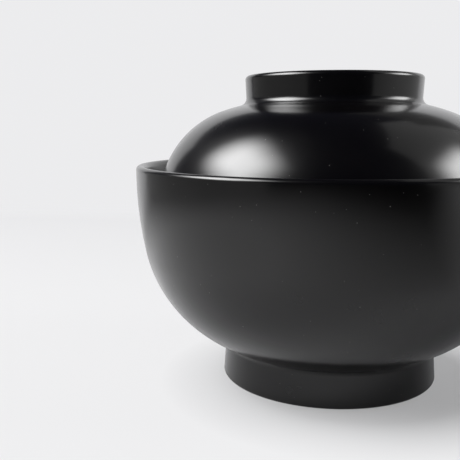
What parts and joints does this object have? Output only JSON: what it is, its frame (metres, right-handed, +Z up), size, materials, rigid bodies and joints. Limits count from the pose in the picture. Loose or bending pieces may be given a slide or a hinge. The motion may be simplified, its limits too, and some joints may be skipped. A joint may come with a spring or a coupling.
{
  "type": "lidded soup bowl",
  "caption": "Round black lacquered wooden soup bowl on a turned foot ring, with a domed lid that sits inside the rim and lifts off by its ring handle.",
  "frame": {"origin": "centre of the foot ring on the plane that the bowl stands on", "axes": "+Z up along the turning axis of bowl and lid; X and Y are any two directions square to it, as all pieces are turned"},
  "size_m": [0.13, 0.13, 0.1003],
  "materials": {
    "turned_wood": "fine-grained turned hardwood, bare under the lacquer",
    "black_lacquer": "black lacquer, rubbed to a soft gloss"
  },
  "bodies": {
    "bowl": {"bowl_wood": "turned_wood", "bowl_outer_lacquer": "black_lacquer", "bowl_inner_lacquer": "black_lacquer", "foot_edge_lacquer": "black_lacquer", "foot_recess_lacquer": "black_lacquer"},
    "lid": {"lid_wood": "turned_wood", "lid_outer_lacquer": "black_lacquer", "lid_inner_lacquer": "black_lacquer", "ring_recess_lacquer": "black_lacquer"}
  },
  "joints": [
    {"name": "lid_lift", "type": "slide", "parent": "bowl", "child": "lid", "axis": [0, 0, 1], "range_m": [0, 0.06]}
  ]
}
